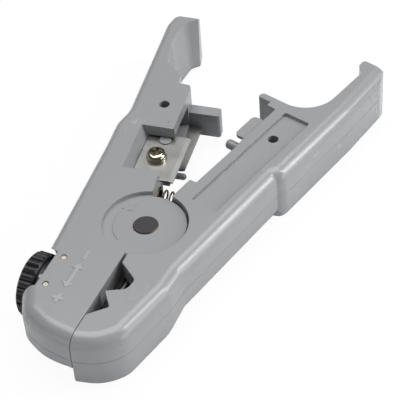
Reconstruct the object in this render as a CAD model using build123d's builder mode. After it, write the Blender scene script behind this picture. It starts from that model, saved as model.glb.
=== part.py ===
from build123d import *
from math import cos, pi, radians, sin
import os

# A cable jacket stripper: two arms hinged like pliers. The pivot is the Z axis and the tool lies
# on z = 0, with the jaws towards -Y and the handles towards +Y. The blade arm is on the -X side
# and the grip arm on the +X side. Millimetres, with the jaws shut.
os.makedirs("parts", exist_ok=True)

# Arms
thickness = 16.0            # height of both arms
parting = 8.45              # height of the joint between the halves of an arm
blade_lean = 8.2            # turn of the blade arm's handle from +Y, anticlockwise
grip_lean = -14.2           # turn of the grip arm's handle from +Y
jaw_gap = 0.2               # between the two jaws when shut
nose_y = -41.8              # end of the jaws
blade_top_round = 2.0       # rounding of the blade arm's outer top edge
nose_top_round = 4.0        # the same edge in front of the knob
grip_top_round = 3.6        # rounding of the grip arm's outer top edge
parting_groove = 0.10       # bevel along the joint on the outer sides
under_round = 2.0           # rounding of the outer bottom edges
scoop_lean = 5              # of the finger scoop's wall, outwards towards the top
nose_chamfer = 6.0          # slope under the blade arm's nose
nose_centre = (-3.0, -22.0, 0)
nose_radius = 19.7
nose_slope_start = 200
nose_slope_arc = 85
waist_round = 5.0           # rounding under the grip arm's waist
waist_front = -7.5          # ends of the waist along the arm
waist_back = 32.2
front_ramp = 6.5            # length over which the arm widens from the waist to the jaw
back_ramp = 1.8             # the same to the swell
front_fade = 11.0           # length over which the waist's rounding ends towards the jaw
ramp_shift = 0.45           # how far that rounding has moved out where the jaw's side begins
fade_shift = 1.2            # and where it ends, clear of the arm
jaw_side = 19.35            # outer side of the grip arm at the jaw, in the arm's own frame
waist_front_side = 18.1
waist_back_side = 17.0
swell_side = 18.2
jaw_front_side = 19.8
jaw_front = -31.5
cut_margin = 0.05           # by which a cutting shape passes the surface that it cuts

# Fits
running = 0.05              # radial clearance of a bearing
side_play = 0.05            # along a bearing
free_gap = 0.3              # between pieces that move past each other
loose_gap = 0.5             # round pieces that have plenty of room

# Pivot
hub_radius = 10.4           # knuckles and eye
hub_top = 14.8              # top of the upper knuckle
hub_wall_gap = 0.6          # round the knuckles
eye_bottom = 5.3
eye_top = 11.0
washer_thickness = 0.35
washer_radius = 10.7
pin_radius = 2.5
pin_head_radius = 3.25
pin_head_height = 1.3
pin_head_proud = 0.3        # above the knuckle
pin_tail_height = 1.2
bush_wall = 1.1

# Return spring, across the arms between the handles
spring_y = 15.7
spring_radius = 2.5         # to the middle of the wire
wire_radius = 0.25
spring_pitch = 1.75
spring_left = -7.9          # end in the blade arm
spring_right = 7.6          # end in the grip arm
spring_pocket_radius = 3.1

# Blades
blade_width = 11.5
blade_length = 17.3
blade_thickness = 0.6
blade_bevel = 1.2
blade_bevel_depth = 0.35
upper_seat = 11.6           # height of the upper blade's seat
lower_seat = 5.0            # height of the lower blade's seat, which faces down
upper_blade_edge = 1.2      # in the blade arm's frame
upper_blade_start = 19.0
lower_blade_edge = 0.4
lower_blade_start = 31.1
blade_pocket_start = 18.1
blade_pocket_end = 34.9
roof_underside = 12.7
blade_end_gap = 0.6         # behind the upper blade, under the roof
pocket_slope = 1.6          # how far the pocket's outer wall leans over its height
block_side = -3.2
arm_side = -2.0
blade_peg_radius = 1.6
blade_peg_gap = 0.1
blade_peg_place = (-5.3, 34.0)
blade_screw_radius = 1.5
blade_screw_head_radius = 2.75
blade_screw_head_height = 1.6
blade_screw_dome = 1.3
blade_washer_radius = 2.8
blade_washer_thickness = 0.5
blade_screw_length = 7.0
upper_screw_place = (-5.7, 27.1)
lower_screw_place = (-7.9, 37.4)
screw_slot_width = 0.9
screw_slot_length = 3.4
screw_slot_depth = 0.8

# Cavity for the peg, fin, peg and tab
cavity_floor = 6.0
cavity_start = 36.9
cavity_end = 48.0
cavity_wall = -6.3
fin_start = lower_blade_start + blade_length + 0.4
fin_end = fin_start + 3.3
fin_tip = 5.3
fin_bottom = 2.2
fin_top = 9.9
socket_floor = 7.0
socket_gap = 0.5
peg_radius = 1.35
peg_y = 39.3
peg_z = 10.8
peg_tip = -4.7
peg_end_round = 0.8
tab_bottom = 14.8
tab_top = 15.7
tab_tip = -1.9
tab_start = 39.1
tab_end = 47.7
tab_corner = 1.3
# Openings in the inner side under the upper blade: how far in, along the arm, and height
side_windows = [((-5.6, 6), (20.0, 31.5), (-1, 4.4)), ((-4.6, 6), (20.0, 25.0), (4.3, 10.5))]
nub_radius = 0.9            # of the small nub in front of the lower blade
nub_place = (29.4, 4.3)     # along the blade arm, and its height
nub_start = -7.0
nub_tip = 1.3
fin_corner = 0.8
grip_side = 1.4

# Hanging holes
hole_radius = 1.43
blade_hole = (-8.4, 44.0)
grip_hole = (7.3, 43.8)
blade_hole_gap = 0.6        # of the lower blade round the hole

# Panel on the grip arm
panel_depth = 1.0
panel_left = 4.3
panel_right = 12.3
panel_start = 13.0
panel_end = 53.3
panel_corner = 0.8

# Depth knob and carriage
knob_y = -22.8
knob_radius = 8.4
knob_outer = -21.2
knob_inner = -17.2
shoulder_radius = 7.2
stem_radius = 5.2
stem_end = -11.4
groove_radius = 3.85
groove_width = 2.0
knob_pin_x = -13.6
knob_pin_radius = 0.85
knob_pin_end = 0.2          # below the arm's top and above its bottom
recess_radius = 9.65
recess_wall = -15.8
ribs = 24
rib_radius = 1.12
rib_root = 7.5              # radius of the knob under its ribs
knob_chamfer = 0.6
dish_radius = 5.6
dish_depth = 0.8
spindle_radius = 2.0
spindle_start = -19.6
spindle_end = -5.2
nut_radius = 3.0
carriage_back = -9.9
carriage_step = -3.6
nut_length = 5.0
carriage_front = 1.2
carriage_width = 10.0
carriage_height = 7.4
tongue_height = 4.2
tongue_length = 18.7
tongue_centre = -21.65
travel = 1.2                # of the carriage each way
jaw_blade_tip = 2.0
jaw_blade_back = -3.4
jaw_blade_length = 16.0
jaw_blade_seat = 9.2
jaw_blade_thickness = 0.6
jaw_pin_radius = 0.8
jaw_pin_x = -2.2
jaw_pin_spacing = 11.0
jaw_pin_bottom = 7.2
jaw_slot_depth = 4.4        # in the grip arm's jaw

# Body screws, driven from below
screw_radius = 1.2
screw_head_radius = 2.1
screw_head_height = 1.3
screw_sink = 0.3
screw_top = 13.0
recess_width = 1.6          # of the hexagon socket
recess_depth = 0.9

# Marks raised on the top faces
mark_height = 0.12
mark_width = 0.9
mark_x = -8.6               # middle of the marks beside the knob
minus_y = -15.7
mark_length = 3.0           # of the minus, and of both bars of the plus
arrow_start = -18.6
arrow_end = -27.0
arrow_head = 1.8            # length of each head
arrow_half = 1.6            # half the width of a head
plus_y = -30.6
turn_mark_radius = 7.8      # of the arrow round the pivot
turn_mark_width = 1.0
turn_mark_start = 150
turn_mark_arc = 88
index_radius = 0.6          # small hollow at the edge of the knob's recess
index_depth = 0.75
index_y = -25.8

# Small roundings
pin_head_chamfer = 0.3
pin_end_round = 0.4
spindle_chamfer = 0.4


def turned(points, lean):
    """Points (x, y, corner radius) of an arm's own frame, in the tool's frame."""
    c = cos(radians(lean))
    s = sin(radians(lean))
    return [(x * c - y * s, x * s + y * c, r) for x, y, r in points]


def spot(place, lean):
    """One point (x, y) of an arm's own frame, in the tool's frame."""
    x, y, r = turned([(place[0], place[1], 0)], lean)[0]
    return (x, y)


def lean_x(point, lean):
    """How far a point lies to the right in an arm's own frame."""
    return point.X * cos(radians(lean)) + point.Y * sin(radians(lean))


def lean_y(point, lean):
    """How far a point lies along an arm's own handle."""
    return point.Y * cos(radians(lean)) - point.X * sin(radians(lean))


def corners(points):
    return [(x, y) for x, y, r in points]


def radii(points):
    return [r for x, y, r in points]


def flat(points, lower, upper):
    """A solid between two heights with a rounded outline."""
    with BuildPart() as body:
        with BuildSketch(Plane.XY.offset(lower)):
            with BuildLine():
                FilletPolyline(*corners(points), radius=radii(points), close=True)
            make_face()
        extrude(amount=upper - lower)
    return body.part


def block(plane, x_range, y_range, z_range):
    """A box between limits given in an arm's frame."""
    with BuildPart() as body:
        with BuildSketch(plane.offset(z_range[0])):
            with Locations(((x_range[0] + x_range[1]) / 2, (y_range[0] + y_range[1]) / 2)):
                Rectangle(x_range[1] - x_range[0], y_range[1] - y_range[0])
        extrude(amount=z_range[1] - z_range[0])
    return body.part


def post(place, radius, lower, upper):
    """An upright round bar or hole."""
    with BuildPart() as body:
        with BuildSketch(Plane.XY.offset(lower)):
            with Locations(place):
                Circle(radius)
        extrude(amount=upper - lower)
    return body.part


def bar(start, y, z, radius, length, plane=Plane.XY):
    """A round bar or hole that lies along the X axis of the tool or of an arm."""
    with BuildPart() as body:
        with BuildSketch(Plane(origin=plane.from_local_coords((start, 0, 0)), x_dir=plane.y_dir,
                               z_dir=plane.x_dir)):
            with Locations((y, z)):
                Circle(radius)
        extrude(amount=length)
    return body.part


def countersunk(place):
    """A body screw, or the hole that it fills, with its head at the bottom."""
    with BuildPart() as body:
        with BuildSketch(Plane.XY.offset(screw_sink)):
            with Locations(place):
                Circle(screw_head_radius)
        with BuildSketch(Plane.XY.offset(screw_sink + screw_head_height)):
            with Locations(place):
                Circle(screw_radius)
        loft()
        with BuildSketch(Plane.XY.offset(screw_sink + screw_head_height)):
            with Locations(place):
                Circle(screw_radius)
        extrude(amount=screw_top - screw_sink - screw_head_height)
    return body.part


def socket_head(place):
    """A body screw with its hexagon socket."""
    with BuildPart() as body:
        add(countersunk(place))
        with BuildSketch(Plane.XY.offset(screw_sink)):
            with Locations(place):
                RegularPolygon(recess_width / 2, 6, major_radius=False)
        extrude(amount=recess_depth, mode=Mode.SUBTRACT)
    return body.part


blade_plane = Plane.XY.rotated((0, 0, blade_lean))
grip_plane = Plane.XY.rotated((0, 0, grip_lean))
jaw_face = jaw_gap / 2
wall_radius = hub_radius + hub_wall_gap
knuckle_underside = eye_top + side_play + washer_thickness
lower_knuckle_top = eye_bottom - side_play - washer_thickness

# Outlines of the arms: the jaw in the tool's frame, the handle in the arm's own frame
blade_outline = (
    [(-jaw_face, nose_y, 0), (-jaw_face, -9.0, 0)]
    + turned([(-1.3, 9.4, 0), (arm_side, blade_pocket_start, 0.4), (arm_side, blade_pocket_end, 0.3),
              (block_side, blade_pocket_end, 0.3), (block_side, 51.7, 0.8), (-3.9, 53.1, 0.3),
              (-7.1, 53.3, 0.4), (-8.1, 60.0, 2), (-9.8, 83.1, 0), (-16.8, 83.3, 2.6), (-18.15, 78.5, 8),
              (-17.35, 40.2, 12), (-19.05, 35.0, 8), (-19.1, 26.0, 0), (-20.75, -12.4, 2.6)], blade_lean)
    + [(-18.9, -17.2, 3), (-19.4, -29.8, 8), (-15.5, -37.0, 7), (-8.5, -40.6, 14)]
)
grip_side_line = [(jaw_front_side, jaw_front), (jaw_side, waist_front - front_ramp),
                  (waist_front_side, waist_front), (waist_back_side, waist_back),
                  (swell_side, waist_back + back_ramp)]
grip_outline = (
    [(jaw_face, nose_y, 0), (jaw_face, -32.9, 0.3), (4.3, -28.7, 0.5), (1.0, -24.4, 0.3),
     (5.7, -22.0, 2.4), (6.2, -18.6, 1.6), (0.7, -14.5, 0.6), (0.7, -9.0, 0)]
    + turned([(-0.2, 9.5, 0), (-0.4, 18.4, 0.3), (1.6, 18.5, 0.4), (1.7, 35.0, 3), (grip_side, 38.0, 3),
              (grip_side, 52.9, 0.3), (-1.5, 53.0, 0.3), (-1.4, 54.5, 0.3), (-5.6, 54.6, 0.3),
              (-5.4, 56.4, 1.0), (11.5, 56.2, 9.2), (11.8, 78.2, 1.2), (9.5, 80.5, 0.9),
              (9.4, 83.1, 0.9), (15.9, 82.9, 0), (17.2, 79.4, 0), (18.0, 64.0, 20),
              (swell_side, waist_back + back_ramp, 4), (waist_back_side, waist_back, 0.6),
              (waist_front_side, waist_front, 3), (jaw_side, waist_front - front_ramp, 8),
              (jaw_front_side, jaw_front, 8)], grip_lean)
    + [(6.8, -40.4, 12)]
)

# Marks: minus, double arrow and plus beside the knob, and an arrow round the pivot
mark_z = (thickness, thickness + mark_height)
stroke_x = (mark_x - mark_width / 2, mark_x + mark_width / 2)
minus_mark = block(Plane.XY, stroke_x, (minus_y - mark_length / 2, minus_y + mark_length / 2), mark_z)
arrow_mark = flat([(mark_x, arrow_start, 0), (mark_x - arrow_half, arrow_start - arrow_head, 0),
                   (stroke_x[0], arrow_start - arrow_head, 0), (stroke_x[0], arrow_end + arrow_head, 0),
                   (mark_x - arrow_half, arrow_end + arrow_head, 0), (mark_x, arrow_end, 0),
                   (mark_x + arrow_half, arrow_end + arrow_head, 0), (stroke_x[1], arrow_end + arrow_head, 0),
                   (stroke_x[1], arrow_start - arrow_head, 0),
                   (mark_x + arrow_half, arrow_start - arrow_head, 0)], *mark_z)
with BuildPart() as plus_mark:
    add(block(Plane.XY, stroke_x, (plus_y - mark_length / 2, plus_y + mark_length / 2), mark_z))
    add(block(Plane.XY, (mark_x - mark_length / 2, mark_x + mark_length / 2),
              (plus_y - mark_width / 2, plus_y + mark_width / 2), mark_z))
with BuildPart() as turn_mark:
    with BuildSketch(Plane.XY.offset(hub_top)):
        with BuildLine():
            outer_arc = CenterArc((0, 0), turn_mark_radius + turn_mark_width / 2, turn_mark_start,
                                  turn_mark_arc)
            inner_arc = CenterArc((0, 0), turn_mark_radius - turn_mark_width / 2, turn_mark_start,
                                  turn_mark_arc)
            Line(outer_arc @ 1, inner_arc @ 1)
            Line(outer_arc @ 0, inner_arc @ 0)
        make_face()
        with BuildLine():
            Polyline((-8.5, 3.3), (-5.2, 3.3), (-5.3, 6.0), close=True)
        make_face()
    extrude(amount=mark_height)

# The upper blade's pocket has an outer wall that leans outwards
blade_back = upper_blade_edge - blade_width - side_play
with BuildPart() as blade_pocket:
    with BuildSketch(Plane(origin=blade_plane.from_local_coords((0, blade_pocket_start, 0)),
                           x_dir=blade_plane.x_dir, z_dir=-blade_plane.y_dir)):
        with BuildLine():
            Polyline((blade_back, upper_seat), (blade_back - pocket_slope, thickness),
                     (blade_back - pocket_slope, thickness + 1), (6, thickness + 1), (6, upper_seat),
                     close=True)
        make_face()
    extrude(amount=blade_pocket_start - blade_pocket_end)

# Hollow shapes of the blade arm, cut from both of its halves
carriage_z = (parting - carriage_height / 2, parting + carriage_height / 2)
tongue_z = (parting - tongue_height / 2, parting + tongue_height / 2)
knob_pins_y = groove_radius + running + knob_pin_radius
upper_washer_bottom = upper_seat + blade_thickness
upper_washer_top = upper_washer_bottom + blade_washer_thickness
lower_washer_top = lower_seat - blade_thickness
lower_washer_bottom = lower_washer_top - blade_washer_thickness
with BuildPart() as blade_arm_space:
    add(post((0, 0), wall_radius, lower_knuckle_top, knuckle_underside))
    add(post((0, 0), wall_radius, hub_top, thickness + 1))
    add(post((0, 0), wall_radius, -1, 0))
    add(post(spot(blade_hole, blade_lean), hole_radius, -1, thickness + 1))
    add(bar(spring_left, spring_y, parting, spring_pocket_radius, -spring_left))
    add(bar(knob_outer - 1, knob_y, parting, recess_radius, recess_wall - knob_outer + 1))
    add(bar(recess_wall - 1, knob_y, parting, stem_radius + running, stem_end - recess_wall + 1.2))
    add(block(Plane.XY, (carriage_back - travel - 0.2, carriage_step + travel + 0.2),
              (knob_y - carriage_width / 2 - running, knob_y + carriage_width / 2 + running),
              (carriage_z[0] - running, carriage_z[1] + running)))
    add(block(Plane.XY, (carriage_step - travel - 0.2, 1),
              (tongue_centre - tongue_length / 2 - running, tongue_centre + tongue_length / 2 + running),
              (tongue_z[0] - running, tongue_z[1] + running)))
    add(blade_pocket.part)
    add(block(blade_plane, (blade_back, 6),
              (blade_pocket_end - 1, upper_blade_start + blade_length + blade_end_gap),
              (upper_seat, roof_underside)))
    for window in side_windows:
        add(block(blade_plane, *window))
    add(block(blade_plane, (cavity_wall, 6), (cavity_start, cavity_end), (cavity_floor, roof_underside)))
    add(block(blade_plane, (lower_blade_edge - blade_width - loose_gap, 6),
              (lower_blade_start - loose_gap, lower_blade_start + blade_length + 0.2), (-1, lower_seat)))
    for side in (-1, 1):
        add(post((knob_pin_x, knob_y + side * knob_pins_y), knob_pin_radius, -1, thickness + 1))
    add(post(spot(upper_screw_place, blade_lean), blade_screw_radius,
             upper_washer_top - blade_screw_length, thickness))
    add(post(spot(lower_screw_place, blade_lean), blade_screw_radius, 0,
             lower_washer_bottom + blade_screw_length))

# The finger scoop leans outwards towards the top
scoop_outline = turned([(2, 54.4, 0), (-7.0, 56.2, 3), (-12.9, 61.0, 6), (-14.6, 70.5, 14),
                        (-13.0, 78.8, 4), (-10.2, 81.2, 2), (-4, 86.0, 0)], blade_lean)
with BuildPart() as scoop:
    with BuildSketch(Plane.XY.offset(thickness)):
        with BuildLine():
            FilletPolyline(*corners(scoop_outline), radius=radii(scoop_outline), close=True)
        make_face()
    extrude(amount=-thickness - 0.5, taper=scoop_lean)

# The slope under the blade arm's nose is part of a cone
with BuildPart() as nose_slope:
    with BuildSketch(Plane(origin=nose_centre,
                           x_dir=(cos(radians(nose_slope_start)), sin(radians(nose_slope_start)), 0),
                           z_dir=(sin(radians(nose_slope_start)), -cos(radians(nose_slope_start)), 0))):
        with BuildLine():
            Polyline((nose_radius - nose_chamfer, 0), (nose_radius, nose_chamfer),
                     (nose_radius + nose_chamfer, nose_chamfer), (nose_radius + nose_chamfer, 0),
                     close=True)
        make_face()
    revolve(axis=Axis(nose_centre, (0, 0, 1)), revolution_arc=nose_slope_arc)

blade_screw_spots = [spot((-13.3, 55.5), blade_lean), spot((-15.4, 28.0), blade_lean), (-9.0, -31.6)]
grip_screw_spots = [spot((14.4, 69.0), grip_lean), spot((9.0, 24.0), grip_lean), (6.6, -34.4)]



def on_blade_side(point):
    """True on the blade arm's outer side and on its nose."""
    return lean_x(point, blade_lean) < -12 or (point.Y < -33 and point.X < -jaw_gap)


def on_grip_side(point):
    """True on the grip arm's outer side, short of the handle's end, and on its nose."""
    outer = lean_x(point, grip_lean) > 14 or (point.Y < -33 and point.X > jaw_gap)
    return outer and lean_y(point, grip_lean) < 79.5


# The nose of the upper half, as far back as the middle of the knob
knob_middle = Plane(origin=(0, knob_y, 0), z_dir=(0, 1, 0))
with BuildPart() as upper_nose:
    add(flat(blade_outline, parting, thickness))
    fillet([e for e in faces().sort_by(Axis.Z)[-1].edges() if on_blade_side(e @ 0.5)], nose_top_round)
    split(bisect_by=knob_middle, keep=Keep.BOTTOM)

# Upper half of the blade arm
with BuildPart() as blade_arm_upper:
    add(flat(blade_outline, parting, thickness))
    fillet([e for e in faces().sort_by(Axis.Z)[-1].edges() if on_blade_side(e @ 0.5)], blade_top_round)
    split(bisect_by=knob_middle, keep=Keep.TOP)
    add(upper_nose.part)
    chamfer([e for e in faces().sort_by(Axis.Z)[0].edges() if on_blade_side(e @ 0.5)], parting_groove)
    add(post((0, 0), hub_radius, parting, hub_top))
    add(blade_arm_space.part, mode=Mode.SUBTRACT)
    add(scoop.part, mode=Mode.SUBTRACT)
    add(post((0, 0), pin_radius, 0, thickness), mode=Mode.SUBTRACT)
    add(post((0, 0), pin_head_radius, hub_top + pin_head_proud - pin_head_height, thickness),
        mode=Mode.SUBTRACT)
    add(post(spot(blade_peg_place, blade_lean), blade_peg_radius, upper_seat - 0.5, roof_underside - 0.2))
    for place in blade_screw_spots:
        add(countersunk(place), mode=Mode.SUBTRACT)
    add(minus_mark)
    add(arrow_mark)
    add(plus_mark.part)
    add(turn_mark.part)
    with BuildSketch(Plane.XY.offset(thickness)):
        with Locations((recess_wall, index_y)):
            Circle(index_radius)
    extrude(amount=-index_depth)
blade_arm_upper.part.label = "blade_arm_upper"
export_step(blade_arm_upper.part, "parts/blade_arm_upper.step")

# Nub in front of the lower blade
with BuildPart() as nub:
    add(bar(nub_start, *nub_place, nub_radius, nub_tip - nub_start, blade_plane))
    fillet(faces().sort_by(Axis(blade_plane.origin, blade_plane.x_dir))[-1].edges(), 0.8 * nub_radius)

# Lower half of the blade arm, with the fin that enters the grip arm
with BuildPart() as blade_arm_lower:
    add(flat(blade_outline, 0, parting))
    fillet([e for e in faces().sort_by(Axis.Z)[0].edges() if on_blade_side(e @ 0.5)], under_round)
    add(nose_slope.part, mode=Mode.SUBTRACT)
    add(post((0, 0), hub_radius, 0, parting))
    add(blade_arm_space.part, mode=Mode.SUBTRACT)
    add(scoop.part, mode=Mode.SUBTRACT)
    add(post((0, 0), pin_radius, -1, thickness), mode=Mode.SUBTRACT)
    add(post((0, 0), pin_head_radius, -1, pin_tail_height), mode=Mode.SUBTRACT)
    for place in blade_screw_spots:
        add(countersunk(place), mode=Mode.SUBTRACT)
        add(post(place, screw_head_radius, -1, screw_sink), mode=Mode.SUBTRACT)
    add(flat(turned([(block_side, fin_start, 0), (fin_tip, fin_start, fin_corner),
                     (fin_tip, fin_end, fin_corner), (block_side, fin_end, 0)], blade_lean),
             fin_bottom, fin_top))
    add(nub.part)
blade_arm_lower.part.label = "blade_arm_lower"
export_step(blade_arm_lower.part, "parts/blade_arm_lower.step")


def side_at(y):
    """How far out the grip arm's side lies, for a place along the arm."""
    for (side, start), (next_side, end) in zip(grip_side_line, grip_side_line[1:]):
        if y <= end:
            return side + (next_side - side) * (y - start) / (end - start)


def waist_section(y, shift):
    """Face, square to the arm, of what is cut from under its side, shifted out and down."""
    side = side_at(y) + shift
    with BuildSketch(Plane(origin=grip_plane.from_local_coords((0, y, -shift)), x_dir=grip_plane.x_dir,
                           z_dir=-grip_plane.y_dir)) as section:
        with BuildLine():
            CenterArc((side - waist_round, waist_round), waist_round, 270, 90)
            Polyline((side, waist_round), (side + 1, waist_round), (side + 1, -1),
                     (side - waist_round, -1), (side - waist_round, 0))
        make_face()
    return section.sketch


# Larger rounding under the grip arm's waist, which runs out past each end of the waist
with BuildPart() as waist_cut:
    add(waist_section(waist_front - front_fade, fade_shift))
    add(waist_section(waist_front - front_ramp, ramp_shift))
    add(waist_section(waist_front, cut_margin))
    add(waist_section(waist_back, cut_margin))
    add(waist_section(waist_back + back_ramp, fade_shift))
    loft(ruled=True)

# Hollow shapes of the grip arm, cut from both of its halves
bush_radius = pin_radius + running + bush_wall
with BuildPart() as grip_arm_space:
    add(post((0, 0), wall_radius, eye_top, thickness + 1))
    add(post((0, 0), wall_radius, -1, eye_bottom))
    add(post(spot(grip_hole, grip_lean), hole_radius, -1, thickness + 1))
    add(bar(0, spring_y, parting, spring_pocket_radius, spring_right))
    add(block(grip_plane, (grip_side - 0.1, socket_floor),
              (fin_start - 3 * socket_gap, fin_end + 2 * socket_gap),
              (fin_bottom - socket_gap, fin_top + socket_gap)))
    add(block(Plane.XY, (-1, jaw_slot_depth),
              (tongue_centre - tongue_length / 2 - loose_gap, tongue_centre + tongue_length / 2 + loose_gap),
              (tongue_z[0] - loose_gap, tongue_z[1] + loose_gap)))

# Peg on the grip arm, with a rounded end
with BuildPart() as peg:
    add(bar(peg_tip, peg_y, peg_z, peg_radius, grip_side + 1 - peg_tip, grip_plane))
    fillet(faces().sort_by(Axis(grip_plane.origin, grip_plane.x_dir))[0].edges(), peg_end_round)

# Upper half of the grip arm, with the peg, the tab and the panel
with BuildPart() as grip_arm_upper:
    add(flat(grip_outline, parting, thickness))
    fillet([e for e in faces().sort_by(Axis.Z)[-1].edges() if on_grip_side(e @ 0.5)], grip_top_round)
    chamfer([e for e in faces().sort_by(Axis.Z)[0].edges() if on_grip_side(e @ 0.5)], parting_groove)
    add(grip_arm_space.part, mode=Mode.SUBTRACT)
    add(post((0, 0), hub_radius, parting, eye_top))
    add(post((0, 0), bush_radius, 0, thickness), mode=Mode.SUBTRACT)
    with BuildSketch(grip_plane.offset(thickness)):
        with Locations(((panel_left + panel_right) / 2, (panel_start + panel_end) / 2)):
            RectangleRounded(panel_right - panel_left, panel_end - panel_start, panel_corner)
    extrude(amount=-panel_depth, mode=Mode.SUBTRACT)
    add(peg.part)
    add(flat(turned([(grip_side + 1, tab_start, 0), (grip_side + 1, tab_end, 0),
                     (tab_tip, tab_end, tab_corner), (tab_tip, tab_start, tab_corner)], grip_lean),
             tab_bottom, tab_top))
    for place in grip_screw_spots:
        add(countersunk(place), mode=Mode.SUBTRACT)
grip_arm_upper.part.label = "grip_arm_upper"
export_step(grip_arm_upper.part, "parts/grip_arm_upper.step")

# Lower half of the grip arm
with BuildPart() as grip_arm_lower:
    add(flat(grip_outline, 0, parting))
    fillet([e for e in faces().sort_by(Axis.Z)[0].edges() if on_grip_side(e @ 0.5)], under_round)
    add(waist_cut.part, mode=Mode.SUBTRACT)
    add(grip_arm_space.part, mode=Mode.SUBTRACT)
    add(post((0, 0), hub_radius, eye_bottom, parting))
    add(post((0, 0), bush_radius, 0, thickness), mode=Mode.SUBTRACT)
    for place in grip_screw_spots:
        add(countersunk(place), mode=Mode.SUBTRACT)
        add(post(place, screw_head_radius, -1, screw_sink), mode=Mode.SUBTRACT)
grip_arm_lower.part.label = "grip_arm_lower"
export_step(grip_arm_lower.part, "parts/grip_arm_lower.step")

# Body screws
with BuildPart() as blade_arm_screws:
    for place in blade_screw_spots:
        add(socket_head(place))
blade_arm_screws.part.label = "blade_arm_screws"
export_step(blade_arm_screws.part, "parts/blade_arm_screws.step")

with BuildPart() as grip_arm_screws:
    for place in grip_screw_spots:
        add(socket_head(place))
grip_arm_screws.part.label = "grip_arm_screws"
export_step(grip_arm_screws.part, "parts/grip_arm_screws.step")

# Pivot pin, with its head above and its riveted tail below
with BuildPart() as pivot_pin:
    add(post((0, 0), pin_head_radius, hub_top + pin_head_proud - pin_head_height, hub_top + pin_head_proud))
    chamfer(faces().sort_by(Axis.Z)[-1].edges(), pin_head_chamfer)
    add(post((0, 0), pin_radius, pin_tail_height, hub_top + pin_head_proud - pin_head_height))
    add(post((0, 0), pin_head_radius, 0, pin_tail_height))
pivot_pin.part.label = "pivot_pin"
export_step(pivot_pin.part, "parts/pivot_pin.step")

with BuildPart() as pivot_bush:
    add(post((0, 0), bush_radius, eye_bottom, eye_top))
    add(post((0, 0), pin_radius + running, eye_bottom, eye_top), mode=Mode.SUBTRACT)
pivot_bush.part.label = "pivot_bush"
export_step(pivot_bush.part, "parts/pivot_bush.step")

with BuildPart() as upper_thrust_washer:
    add(post((0, 0), washer_radius, eye_top + side_play, knuckle_underside))
    add(post((0, 0), pin_radius, eye_top, knuckle_underside), mode=Mode.SUBTRACT)
upper_thrust_washer.part.label = "upper_thrust_washer"
export_step(upper_thrust_washer.part, "parts/upper_thrust_washer.step")

with BuildPart() as lower_thrust_washer:
    add(post((0, 0), washer_radius, lower_knuckle_top, eye_bottom - side_play))
    add(post((0, 0), pin_radius, lower_knuckle_top, eye_bottom), mode=Mode.SUBTRACT)
lower_thrust_washer.part.label = "lower_thrust_washer"
export_step(lower_thrust_washer.part, "parts/lower_thrust_washer.step")

# Return spring
coil_length = spring_right - spring_left - 2 * wire_radius - side_play
with BuildPart() as return_spring:
    with BuildLine() as coil:
        Helix(spring_pitch, coil_length, spring_radius, center=(spring_left + wire_radius, spring_y, parting),
              direction=(1, 0, 0))
    with BuildSketch(Plane(origin=coil.line @ 0, z_dir=coil.line % 0)):
        Circle(wire_radius)
    sweep(path=coil.line, is_frenet=True)
return_spring.part.label = "return_spring"
export_step(return_spring.part, "parts/return_spring.step")


def pan_screw(place, seat, up):
    """A blade screw with a crossed recess; the head stands on the seat, on the side that up names."""
    top = Plane(origin=(place[0], place[1], seat), z_dir=(0, 0, up))
    with BuildPart() as body:
        with BuildSketch(top):
            Circle(blade_screw_head_radius)
        extrude(amount=blade_screw_head_height)
        fillet(faces().sort_by(Axis((0, 0, 0), (0, 0, up)))[-1].edges(), blade_screw_dome)
        with BuildSketch(top.offset(blade_screw_head_height)):
            Rectangle(screw_slot_width, screw_slot_length)
            Rectangle(screw_slot_length, screw_slot_width)
        extrude(amount=-screw_slot_depth, mode=Mode.SUBTRACT)
        with BuildSketch(top):
            Circle(blade_screw_radius)
        extrude(amount=-blade_screw_length)
    return body.part


def blade(edge, start, bottom, bevel_top, holes):
    """A flat blade with its cutting edge towards the grip arm; holes are (place, radius) pairs."""
    with BuildPart() as body:
        add(block(blade_plane, (edge - blade_width, edge), (start, start + blade_length),
                  (bottom, bottom + blade_thickness)))
        face = faces().sort_by(Axis.Z)[-1 if bevel_top else 0]
        cutting = face.edges().sort_by(Axis(blade_plane.origin, blade_plane.x_dir))[-1]
        chamfer(cutting, blade_bevel_depth, length2=blade_bevel,
                reference=body.faces().sort_by(Axis(blade_plane.origin, blade_plane.x_dir))[-1])
        for place, radius in holes:
            add(post(spot(place, blade_lean), radius, bottom - 1, bottom + 1), mode=Mode.SUBTRACT)
    return body.part


# Upper blade
with BuildPart() as upper_blade:
    add(blade(upper_blade_edge, upper_blade_start, upper_seat, True,
              [(upper_screw_place, blade_screw_radius), (blade_peg_place, blade_peg_radius + blade_peg_gap)]))
upper_blade.part.label = "upper_blade"
export_step(upper_blade.part, "parts/upper_blade.step")

with BuildPart() as upper_blade_washer:
    add(post(spot(upper_screw_place, blade_lean), blade_washer_radius, upper_washer_bottom,
             upper_washer_top))
    add(post(spot(upper_screw_place, blade_lean), blade_screw_radius, upper_seat, thickness),
        mode=Mode.SUBTRACT)
upper_blade_washer.part.label = "upper_blade_washer"
export_step(upper_blade_washer.part, "parts/upper_blade_washer.step")

with BuildPart() as upper_blade_screw:
    add(pan_screw(spot(upper_screw_place, blade_lean), upper_washer_top, 1))
upper_blade_screw.part.label = "upper_blade_screw"
export_step(upper_blade_screw.part, "parts/upper_blade_screw.step")

# Lower blade
with BuildPart() as lower_blade:
    add(blade(lower_blade_edge, lower_blade_start, lower_seat - blade_thickness, False,
              [(lower_screw_place, blade_screw_radius), (blade_hole, hole_radius + blade_hole_gap)]))
lower_blade.part.label = "lower_blade"
export_step(lower_blade.part, "parts/lower_blade.step")

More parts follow.
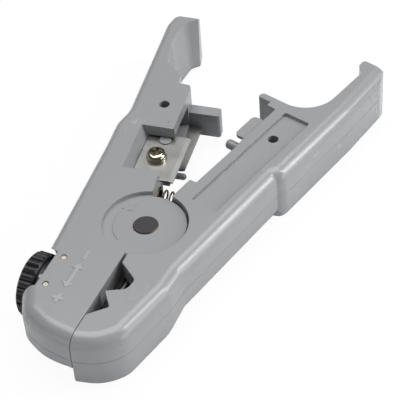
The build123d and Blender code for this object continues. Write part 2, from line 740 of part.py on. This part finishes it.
with BuildPart() as lower_blade_washer:
    add(post(spot(lower_screw_place, blade_lean), blade_washer_radius,
             lower_washer_bottom, lower_washer_top))
    add(post(spot(lower_screw_place, blade_lean), blade_screw_radius, 0, lower_seat), mode=Mode.SUBTRACT)
lower_blade_washer.part.label = "lower_blade_washer"
export_step(lower_blade_washer.part, "parts/lower_blade_washer.step")

with BuildPart() as lower_blade_screw:
    add(pan_screw(spot(lower_screw_place, blade_lean), lower_washer_bottom, -1))
lower_blade_screw.part.label = "lower_blade_screw"
export_step(lower_blade_screw.part, "parts/lower_blade_screw.step")

# Depth knob
with BuildPart() as knob_blank:
    add(bar(knob_outer, knob_y, parting, knob_radius, knob_inner - knob_outer))
    chamfer(edges(), knob_chamfer)

with BuildPart() as depth_knob:
    with BuildSketch(Plane.YZ.offset(knob_outer)):
        with Locations((knob_y, parting)):
            Circle(rib_root)
            with PolarLocations(knob_radius - rib_radius, ribs):
                Circle(rib_radius)
    extrude(amount=knob_inner - knob_outer)
    add(knob_blank.part, mode=Mode.INTERSECT)
    add(bar(knob_outer, knob_y, parting, dish_radius, dish_depth), mode=Mode.SUBTRACT)
    add(bar(knob_inner, knob_y, parting, shoulder_radius, recess_wall - 0.2 - knob_inner))
    add(bar(recess_wall - 0.2, knob_y, parting, stem_radius, stem_end - recess_wall + 0.2))
    with BuildSketch(Plane.YZ.offset(knob_pin_x - groove_width / 2)):
        with Locations((knob_y, parting)):
            Circle(stem_radius + 1)
            Circle(groove_radius, mode=Mode.SUBTRACT)
    extrude(amount=groove_width, mode=Mode.SUBTRACT)
    add(bar(spindle_start, knob_y, parting, spindle_radius, -spindle_start), mode=Mode.SUBTRACT)
depth_knob.part.label = "depth_knob"
export_step(depth_knob.part, "parts/depth_knob.step")

with BuildPart() as knob_spindle:
    add(bar(spindle_start, knob_y, parting, spindle_radius, spindle_end - spindle_start))
    chamfer(faces().sort_by(Axis.X)[-1].edges(), spindle_chamfer)
knob_spindle.part.label = "knob_spindle"
export_step(knob_spindle.part, "parts/knob_spindle.step")

with BuildPart() as knob_retaining_pins:
    for side in (-1, 1):
        add(post((knob_pin_x, knob_y + side * knob_pins_y), knob_pin_radius, knob_pin_end,
                 thickness - knob_pin_end))
    fillet(faces().group_by(Axis.Z)[-1].edges(), pin_end_round)
knob_retaining_pins.part.label = "knob_retaining_pins"
export_step(knob_retaining_pins.part, "parts/knob_retaining_pins.step")

# Carriage with its nut and jaw blade
jaw_pins_y = [tongue_centre - jaw_pin_spacing / 2, tongue_centre + jaw_pin_spacing / 2]
with BuildPart() as blade_carriage:
    add(block(Plane.XY, (carriage_back, carriage_step),
              (knob_y - carriage_width / 2, knob_y + carriage_width / 2), carriage_z))
    add(block(Plane.XY, (carriage_step, carriage_front),
              (tongue_centre - tongue_length / 2, tongue_centre + tongue_length / 2), tongue_z))
    add(bar(carriage_back, knob_y, parting, nut_radius, nut_length), mode=Mode.SUBTRACT)
    add(bar(carriage_back, knob_y, parting, spindle_radius + free_gap,
            spindle_end + travel + free_gap - carriage_back), mode=Mode.SUBTRACT)
    add(block(Plane.XY, (jaw_blade_back, carriage_front + 1),
              (tongue_centre - jaw_blade_length / 2, tongue_centre + jaw_blade_length / 2),
              (jaw_blade_seat, jaw_blade_seat + jaw_blade_thickness)), mode=Mode.SUBTRACT)
    for y in jaw_pins_y:
        add(post((jaw_pin_x, y), jaw_pin_radius, jaw_pin_bottom, thickness), mode=Mode.SUBTRACT)
blade_carriage.part.label = "blade_carriage"
export_step(blade_carriage.part, "parts/blade_carriage.step")

with BuildPart() as carriage_nut:
    add(bar(carriage_back, knob_y, parting, nut_radius, nut_length))
    add(bar(carriage_back, knob_y, parting, spindle_radius + running, nut_length), mode=Mode.SUBTRACT)
carriage_nut.part.label = "carriage_nut"
export_step(carriage_nut.part, "parts/carriage_nut.step")

with BuildPart() as jaw_blade:
    add(flat([(jaw_blade_back, tongue_centre - jaw_blade_length / 2, 0),
              (jaw_blade_tip, tongue_centre - jaw_blade_length / 2, 0.6),
              (jaw_blade_tip, tongue_centre + jaw_blade_length / 2, 0.6),
              (jaw_blade_back, tongue_centre + jaw_blade_length / 2, 0)],
             jaw_blade_seat, jaw_blade_seat + jaw_blade_thickness))
    for y in jaw_pins_y:
        add(post((jaw_pin_x, y), jaw_pin_radius, 0, thickness), mode=Mode.SUBTRACT)
jaw_blade.part.label = "jaw_blade"
export_step(jaw_blade.part, "parts/jaw_blade.step")

with BuildPart() as jaw_blade_pins:
    for y in jaw_pins_y:
        add(post((jaw_pin_x, y), jaw_pin_radius, jaw_pin_bottom, tongue_z[1]))
jaw_blade_pins.part.label = "jaw_blade_pins"
export_step(jaw_blade_pins.part, "parts/jaw_blade_pins.step")
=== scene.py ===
import math

import bpy
from mathutils import Matrix, Vector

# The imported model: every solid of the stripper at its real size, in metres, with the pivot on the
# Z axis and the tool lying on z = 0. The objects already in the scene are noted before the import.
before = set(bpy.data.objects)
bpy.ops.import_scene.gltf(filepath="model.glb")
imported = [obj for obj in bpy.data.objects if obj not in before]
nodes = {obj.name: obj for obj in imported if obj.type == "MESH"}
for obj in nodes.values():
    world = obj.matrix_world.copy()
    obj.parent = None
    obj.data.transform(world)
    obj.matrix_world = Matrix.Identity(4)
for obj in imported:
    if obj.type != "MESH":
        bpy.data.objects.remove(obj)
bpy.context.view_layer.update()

# The camera looks down on the tool from in front of the grip arm's jaw, a little rolled, through a
# long lens from about 0.4 m. The aim is where the pivot's axis meets the arms' top.
azimuth = math.radians(27.5)
elevation = math.radians(44.32)
roll = math.radians(4.683)
aim = Vector((0, 0, 0.016))
aim_right = -0.01370        # of the aim from the picture's centre, as the camera sees it
aim_down = 0.00549
aim_distance = 0.39119      # of the aim along the camera's line of sight
focal_length = 140.83       # in millimetres, on a sensor 36 mm wide
forward = Vector((-math.sin(azimuth) * math.cos(elevation),
                  math.cos(azimuth) * math.cos(elevation), -math.sin(elevation)))
level_right = Vector((math.cos(azimuth), math.sin(azimuth), 0))
level_up = level_right.cross(forward)
right = math.cos(roll) * level_right - math.sin(roll) * level_up
up = math.sin(roll) * level_right + math.cos(roll) * level_up
camera = bpy.data.objects.new("camera", bpy.data.cameras.new("camera"))
bpy.context.scene.collection.objects.link(camera)
place = aim - aim_right * right + aim_down * up - aim_distance * forward
turn = Matrix((right, up, -forward)).transposed().to_4x4()
camera.matrix_world = Matrix.Translation(place) @ turn
camera.data.sensor_width = 36
camera.data.lens = focal_length
camera.data.clip_start = 0.01
camera.data.clip_end = 20
bpy.context.scene.camera = camera


# The floor is a sheet of matt white card that runs out of view, lit so that it shows as white with
# only a faint shadow.
def shade(code):
    """Linear colour of an sRGB hex value."""
    parts = [int(code[i:i + 2], 16) / 255 for i in (1, 3, 5)]
    linear = [c / 12.92 if c <= 0.04045 else ((c + 0.055) / 1.055) ** 2.4 for c in parts]
    return (*linear, 1)


def new_material(name):
    """An empty node material and its tree."""
    material = bpy.data.materials.new(name)
    material.use_nodes = True
    material.node_tree.nodes.clear()
    return material, material.node_tree


def add_node(tree, kind, settings=None, links=None):
    """A node with its settings and its links. A setting that isn't one of the node's own names
    sets an input. A link is an output socket."""
    node = tree.nodes.new(kind)
    for key, value in (settings or {}).items():
        if isinstance(key, str) and hasattr(node, key):
            setattr(node, key, value)
        else:
            node.inputs[key].default_value = value
    for key, value in (links or {}).items():
        tree.links.new(value, node.inputs[key])
    return node


card_grey = "#f4f4f4"
card_glow = 0.95            # share of the floor that shows white whatever light falls on it
floor_size = 3.0            # from its centre to each side
floor_drop = 0.0003         # below the tool's underside

card, tree = new_material("white_card")
card_light = add_node(tree, "ShaderNodeBsdfDiffuse", {"Color": shade(card_grey)})
card_white = add_node(tree, "ShaderNodeEmission", {"Color": (1, 1, 1, 1), "Strength": 1.0})
card_mix = add_node(tree, "ShaderNodeMixShader", {0: card_glow},
                    {1: card_light.outputs[0], 2: card_white.outputs[0]})
rays = add_node(tree, "ShaderNodeLightPath")
card_pick = add_node(tree, "ShaderNodeMixShader", {},
                     {0: rays.outputs["Is Camera Ray"], 1: card_light.outputs[0],
                      2: card_mix.outputs[0]})
add_node(tree, "ShaderNodeOutputMaterial", {}, {"Surface": card_pick.outputs[0]})
floor_mesh = bpy.data.meshes.new("floor")
floor_mesh.from_pydata([(-floor_size, -floor_size, 0), (floor_size, -floor_size, 0),
                        (floor_size, floor_size, 0), (-floor_size, floor_size, 0)],
                       [], [(0, 1, 2, 3)])
floor = bpy.data.objects.new("floor", floor_mesh)
floor.location = (0, 0, -floor_drop)
bpy.context.scene.collection.objects.link(floor)
floor.data.materials.append(card)

# Studio light: white all round for the camera, a dim room for the tool, and a wide soft box
# overhead and behind. A strip to the right draws the long highlight on the grip arm, and two low
# boxes lift its side and the arms' front.
room_strength = 0.07
lamp_aim = (0, 0.02, 0)

world = bpy.data.worlds.new("studio")
bpy.context.scene.world = world
world.use_nodes = True
tree = world.node_tree
tree.nodes.clear()
room = add_node(tree, "ShaderNodeBackground",
                {"Color": shade("#ffffff"), "Strength": room_strength})
backdrop = add_node(tree, "ShaderNodeBackground", {"Color": (1, 1, 1, 1), "Strength": 1.0})
rays = add_node(tree, "ShaderNodeLightPath")
pick = add_node(tree, "ShaderNodeMixShader", {},
                {0: rays.outputs["Is Camera Ray"], 1: room.outputs[0], 2: backdrop.outputs[0]})
add_node(tree, "ShaderNodeOutputWorld", {}, {"Surface": pick.outputs[0]})


def soft_box(name, place, width, height, power):
    """An area lamp that faces the tool."""
    data = bpy.data.lights.new(name, "AREA")
    data.shape = "RECTANGLE"
    data.size = width
    data.size_y = height
    data.energy = power
    lamp = bpy.data.objects.new(name, data)
    lamp.location = place
    lamp.rotation_mode = "QUATERNION"
    lamp.rotation_quaternion = (Vector(lamp_aim) - Vector(place)).to_track_quat("-Z", "Y")
    bpy.context.scene.collection.objects.link(lamp)


soft_box("overhead", (-0.15, 0.25, 1.10), 1.1, 0.9, 12.5)
soft_box("right_strip", (0.75, 0.42, 0.62), 0.10, 0.7, 5.0)
soft_box("right_low", (0.95, 0.10, 0.24), 0.7, 0.35, 2.5)
soft_box("front_low", (-0.25, -0.95, 0.13), 1.2, 0.2, 1.6)

# The arms are injection moulded in grey ABS, each from an upper and a lower half. The moulding
# leaves a satin skin with a fine grain, faint clouds in the colour, and pale streaks where the
# plastic met again. The tops of the raised marks are painted paler, a painted highlight for their
# lit edges. Use has left a few rust-brown specks.
abs_grey = "#98999b"
abs_cloud = "#929496"
# pale colour of the flow streaks, and also of the painted highlight on the raised marks
abs_streak_and_highlight = "#b4b6b8"
rust_brown = "#8a5a3a"
cloud_size = 0.018
grain_size = 0.0005
grain_depth = 0.0001
grain_strength = 0.10
sheen_low = 0.22            # roughness, which follows the clouds
sheen_high = 0.30
edge_radius = 0.00015       # of the moulded edges that the CAD model leaves sharp
streak_width = 0.0011
streak_stretch = 0.22       # scale of the streaks' pattern along the arm, so they run along it
streak_turn = math.radians(14)
streak_from = 0.56          # the noise shows as a streak from here, and in full at streak_full
streak_full = 0.80
streak_strength = 0.8
streak_core = 0.2           # share of a mark's radius within which its streaks are in full
streak_marks = [((-0.019, 0.033, 0.0160), 0.006), ((0.027, 0.036, 0.0110), 0.017)]
rust_core = 0.6
rust_marks = [((0.0262, 0.0317, 0.0160), 0.0003), ((-0.0008, -0.0192, 0.0135), 0.0007),
              ((-0.0105, 0.0362, 0.0160), 0.0003)]
arm_top = 0.016             # the raised marks stand on this face
highlight_margin = 0.00002     # above it, where the painted highlight on the marks starts
highlight_strength = 0.4

abs_plastic, tree = new_material("moulded_grey_abs")
where = add_node(tree, "ShaderNodeTexCoord").outputs["Object"]
clouds = add_node(tree, "ShaderNodeTexNoise", {"Scale": 1 / cloud_size, "Detail": 3.0},
                  {"Vector": where})
base = add_node(tree, "ShaderNodeMixRGB", {"Color1": shade(abs_grey), "Color2": shade(abs_cloud)},
                {"Fac": clouds.outputs["Fac"]})
along_arm = add_node(tree, "ShaderNodeMapping",
                     {"Rotation": (0, 0, streak_turn), "Scale": (1, streak_stretch, 1)},
                     {"Vector": where})
streaks = add_node(tree, "ShaderNodeTexNoise",
                   {"Scale": 1 / streak_width, "Detail": 3.0, "Distortion": 1.6},
                   {"Vector": along_arm.outputs["Vector"]})
ridges = add_node(tree, "ShaderNodeMapRange",
                  {"From Min": streak_from, "From Max": streak_full, "To Max": streak_strength},
                  {"Value": streaks.outputs["Fac"]})
colour = base.outputs["Color"]
for centre, radius in streak_marks:
    from_centre = add_node(tree, "ShaderNodeVectorMath", {"operation": "DISTANCE", 1: centre},
                           {0: where})
    patch = add_node(tree, "ShaderNodeMapRange",
                     {"From Min": radius, "From Max": radius * streak_core},
                     {"Value": from_centre.outputs["Value"]})
    amount = add_node(tree, "ShaderNodeMath", {"operation": "MULTIPLY"},
                      {0: patch.outputs["Result"], 1: ridges.outputs["Result"]})
    mixed = add_node(tree, "ShaderNodeMixRGB", {"Color2": shade(abs_streak_and_highlight)},
                     {"Fac": amount.outputs["Value"], "Color1": colour})
    colour = mixed.outputs["Color"]
# Painted highlight: every face above the arm's top, the raised marks, is painted paler in the
# streak colour.
height = add_node(tree, "ShaderNodeSeparateXYZ", {}, {"Vector": where})
raised = add_node(tree, "ShaderNodeMath", {"operation": "GREATER_THAN", 1: arm_top + highlight_margin},
                  {0: height.outputs["Z"]})
relief_highlight = add_node(tree, "ShaderNodeMath", {"operation": "MULTIPLY", 1: highlight_strength},
                  {0: raised.outputs["Value"]})
mixed = add_node(tree, "ShaderNodeMixRGB", {"Color2": shade(abs_streak_and_highlight)},
                 {"Fac": relief_highlight.outputs["Value"], "Color1": colour})
colour = mixed.outputs["Color"]
for centre, radius in rust_marks:
    from_centre = add_node(tree, "ShaderNodeVectorMath", {"operation": "DISTANCE", 1: centre},
                           {0: where})
    patch = add_node(tree, "ShaderNodeMapRange",
                     {"From Min": radius, "From Max": radius * rust_core},
                     {"Value": from_centre.outputs["Value"]})
    mixed = add_node(tree, "ShaderNodeMixRGB", {"Color2": shade(rust_brown)},
                     {"Fac": patch.outputs["Result"], "Color1": colour})
    colour = mixed.outputs["Color"]
grain = add_node(tree, "ShaderNodeTexNoise", {"Scale": 1 / grain_size, "Detail": 2.0},
                 {"Vector": where})
edges = add_node(tree, "ShaderNodeBevel", {"Radius": edge_radius, "samples": 6})
skin = add_node(tree, "ShaderNodeBump", {"Strength": grain_strength, "Distance": grain_depth},
                {"Height": grain.outputs["Fac"], "Normal": edges.outputs["Normal"]})
sheen = add_node(tree, "ShaderNodeMapRange", {"To Min": sheen_low, "To Max": sheen_high},
                 {"Value": clouds.outputs["Fac"]})
surface = add_node(tree, "ShaderNodeBsdfPrincipled", {"IOR": 1.53},
                   {"Base Color": colour, "Roughness": sheen.outputs["Result"],
                    "Normal": skin.outputs["Normal"]})
add_node(tree, "ShaderNodeOutputMaterial", {}, {"Surface": surface.outputs[0]})


def dress(material, *names):
    """Gives CAD solids their material."""
    for name in names:
        nodes[name].data.materials.clear()
        nodes[name].data.materials.append(material)


dress(abs_plastic, "blade_arm_upper", "blade_arm_lower", "grip_arm_upper", "grip_arm_lower")

# The pivot pin is a turned steel rivet, blackened in a hot salt bath. The finish has worn through
# at the rim of the head, where a little brown rust shows.
pin_black = "#3b3b3e"
pin_rust = "#7a5236"
head_radius = 0.00325
worn_from = 0.86            # share of the head's radius where the rust starts, and is in full
worn_full = 0.97
pin_blotch = 1 / 420        # 2.4 mm

blackened, tree = new_material("blackened_rivet_steel")
where = add_node(tree, "ShaderNodeTexCoord").outputs["Object"]
flat_place = add_node(tree, "ShaderNodeVectorMath", {"operation": "MULTIPLY", 1: (1, 1, 0)},
                      {0: where})
radius = add_node(tree, "ShaderNodeVectorMath", {"operation": "LENGTH"},
                  {0: flat_place.outputs["Vector"]})
rim = add_node(tree, "ShaderNodeMapRange",
               {"From Min": head_radius * worn_from, "From Max": head_radius * worn_full},
               {"Value": radius.outputs["Value"]})
blotch = add_node(tree, "ShaderNodeTexNoise", {"Scale": 1 / pin_blotch, "Detail": 4.0},
                  {"Vector": where})
patchy = add_node(tree, "ShaderNodeMapRange", {"From Min": 0.4, "From Max": 0.6},
                  {"Value": blotch.outputs["Fac"]})
rusty = add_node(tree, "ShaderNodeMath", {"operation": "MULTIPLY"},
                 {0: rim.outputs["Result"], 1: patchy.outputs["Result"]})
colour = add_node(tree, "ShaderNodeMixRGB", {"Color1": shade(pin_black), "Color2": shade(pin_rust)},
                  {"Fac": rusty.outputs["Value"]})
dull = add_node(tree, "ShaderNodeMapRange", {"To Min": 0.38, "To Max": 0.62},
                {"Value": blotch.outputs["Fac"]})
surface = add_node(tree, "ShaderNodeBsdfPrincipled", {"Metallic": 0.5},
                   {"Base Color": colour.outputs["Color"], "Roughness": dull.outputs["Result"]})
add_node(tree, "ShaderNodeOutputMaterial", {}, {"Surface": surface.outputs[0]})
dress(blackened, "pivot_pin")

# The three blades are stamped from hardened steel strip and ground, so they carry fine lines and
# dull patches. Two are screwed down, and the jaw's is pinned to the carriage.
blade_grey = "#b6b6b5"
blade_dull = "#94938f"
blade_blotch = 1 / 260      # 3.8 mm
ground_edge = 0.00012       # of the corners that the CAD model leaves sharp
line_spacing = 0.00025
line_stretch = 0.08         # scale of the lines' pattern across the tool, so they run that way

ground, tree = new_material("ground_blade_steel")
where = add_node(tree, "ShaderNodeTexCoord").outputs["Object"]
blotch = add_node(tree, "ShaderNodeTexNoise", {"Scale": 1 / blade_blotch, "Detail": 4.0},
                  {"Vector": where})
colour = add_node(tree, "ShaderNodeMixRGB",
                  {"Color1": shade(blade_grey), "Color2": shade(blade_dull)},
                  {"Fac": blotch.outputs["Fac"]})
stretch = add_node(tree, "ShaderNodeVectorMath",
                   {"operation": "MULTIPLY", 1: (line_stretch, 1, 1)}, {0: where})
lines = add_node(tree, "ShaderNodeTexNoise", {"Scale": 1 / line_spacing, "Detail": 1.0},
                 {"Vector": stretch.outputs["Vector"]})
dull = add_node(tree, "ShaderNodeMapRange", {"To Min": 0.28, "To Max": 0.5},
                {"Value": lines.outputs["Fac"]})
edges = add_node(tree, "ShaderNodeBevel", {"Radius": ground_edge, "samples": 6})
surface = add_node(tree, "ShaderNodeBsdfPrincipled", {"Metallic": 1.0},
                   {"Base Color": colour.outputs["Color"], "Roughness": dull.outputs["Result"],
                    "Normal": edges.outputs["Normal"]})
add_node(tree, "ShaderNodeOutputMaterial", {}, {"Surface": surface.outputs[0]})
dress(ground, "upper_blade", "lower_blade", "jaw_blade")

# The washers, the screws, the knob's spindle and the jaw blade's pins are turned or stamped from
# steel and plated with nickel. The plating is bright and warm, and dulls a little in patches.
nickel_bright = "#cfccc0"
nickel_warm = "#b8ac92"
nickel_blotch = 1 / 600     # 1.7 mm

plated, tree = new_material("nickel_plated_steel")
where = add_node(tree, "ShaderNodeTexCoord").outputs["Object"]
blotch = add_node(tree, "ShaderNodeTexNoise", {"Scale": 1 / nickel_blotch, "Detail": 2.0},
                  {"Vector": where})
colour = add_node(tree, "ShaderNodeMixRGB",
                  {"Color1": shade(nickel_bright), "Color2": shade(nickel_warm)},
                  {"Fac": blotch.outputs["Fac"]})
dull = add_node(tree, "ShaderNodeMapRange", {"To Min": 0.14, "To Max": 0.26},
                {"Value": blotch.outputs["Fac"]})
surface = add_node(tree, "ShaderNodeBsdfPrincipled", {"Metallic": 1.0},
                   {"Base Color": colour.outputs["Color"], "Roughness": dull.outputs["Result"]})
add_node(tree, "ShaderNodeOutputMaterial", {}, {"Surface": surface.outputs[0]})
dress(plated, "upper_thrust_washer", "lower_thrust_washer", "upper_blade_washer",
      "upper_blade_screw", "lower_blade_washer", "lower_blade_screw", "knob_spindle",
      "jaw_blade_pins", "blade_arm_screws", "grip_arm_screws")

# The two pins beside the knob are cut from pale tin-plated steel wire and pressed into the arm,
# and their sheared ends are dull.
tin_pale = "#cbc7b9"
tin_dull = "#b8b2a2"
tin_blotch = 1 / 700        # 1.4 mm

tinned, tree = new_material("tinned_wire_pin")
where = add_node(tree, "ShaderNodeTexCoord").outputs["Object"]
blotch = add_node(tree, "ShaderNodeTexNoise", {"Scale": 1 / tin_blotch, "Detail": 2.0},
                  {"Vector": where})
colour = add_node(tree, "ShaderNodeMixRGB", {"Color1": shade(tin_pale), "Color2": shade(tin_dull)},
                  {"Fac": blotch.outputs["Fac"]})
surface = add_node(tree, "ShaderNodeBsdfPrincipled", {"Metallic": 0.25, "Roughness": 0.45},
                   {"Base Color": colour.outputs["Color"]})
add_node(tree, "ShaderNodeOutputMaterial", {}, {"Surface": surface.outputs[0]})
dress(tinned, "knob_retaining_pins")

# The return spring is coiled from drawn spring steel wire and sits between the two arms. Its heat
# treatment leaves it dark, with browner patches.
wire_dark = "#4a4743"
wire_brown = "#77644c"
wire_blotch = 0.002

wire, tree = new_material("tempered_spring_wire")
where = add_node(tree, "ShaderNodeTexCoord").outputs["Object"]
blotch = add_node(tree, "ShaderNodeTexNoise", {"Scale": 1 / wire_blotch, "Detail": 2.0},
                  {"Vector": where})
colour = add_node(tree, "ShaderNodeMixRGB",
                  {"Color1": shade(wire_dark), "Color2": shade(wire_brown)},
                  {"Fac": blotch.outputs["Fac"]})
surface = add_node(tree, "ShaderNodeBsdfPrincipled", {"Metallic": 1.0, "Roughness": 0.33},
                   {"Base Color": colour.outputs["Color"]})
add_node(tree, "ShaderNodeOutputMaterial", {}, {"Surface": surface.outputs[0]})
dress(wire, "return_spring")

# The pivot's bush and the carriage's nut are turned from brass bar and pressed into the plastic.
# The turned faces are bright, and duller in soft patches.
brass_yellow = "#c9a659"
brass_dull = "#b08d45"
brass_blotch = 0.0025

brass, tree = new_material("turned_brass")
where = add_node(tree, "ShaderNodeTexCoord").outputs["Object"]
blotch = add_node(tree, "ShaderNodeTexNoise", {"Scale": 1 / brass_blotch, "Detail": 2.0},
                  {"Vector": where})
colour = add_node(tree, "ShaderNodeMixRGB",
                  {"Color1": shade(brass_yellow), "Color2": shade(brass_dull)},
                  {"Fac": blotch.outputs["Fac"]})
surface = add_node(tree, "ShaderNodeBsdfPrincipled", {"Metallic": 1.0, "Roughness": 0.28},
                   {"Base Color": colour.outputs["Color"]})
add_node(tree, "ShaderNodeOutputMaterial", {}, {"Surface": surface.outputs[0]})
dress(brass, "pivot_bush", "carriage_nut")

# The depth knob and the carriage that it drives are moulded in black nylon. The skin is smooth
# but not bright, and the black is a little uneven.
nylon_black = "#1c1c1f"
nylon_pale = "#27272a"
nylon_blotch = 1 / 300      # 3.3 mm

nylon, tree = new_material("moulded_black_nylon")
where = add_node(tree, "ShaderNodeTexCoord").outputs["Object"]
blotch = add_node(tree, "ShaderNodeTexNoise", {"Scale": 1 / nylon_blotch, "Detail": 3.0},
                  {"Vector": where})
colour = add_node(tree, "ShaderNodeMixRGB",
                  {"Color1": shade(nylon_black), "Color2": shade(nylon_pale)},
                  {"Fac": blotch.outputs["Fac"]})
surface = add_node(tree, "ShaderNodeBsdfPrincipled",
                   {"Roughness": 0.38, "Specular IOR Level": 0.32},
                   {"Base Color": colour.outputs["Color"]})
add_node(tree, "ShaderNodeOutputMaterial", {}, {"Surface": surface.outputs[0]})
dress(nylon, "depth_knob", "blade_carriage")

bpy.context.scene.view_settings.view_transform = "Standard"
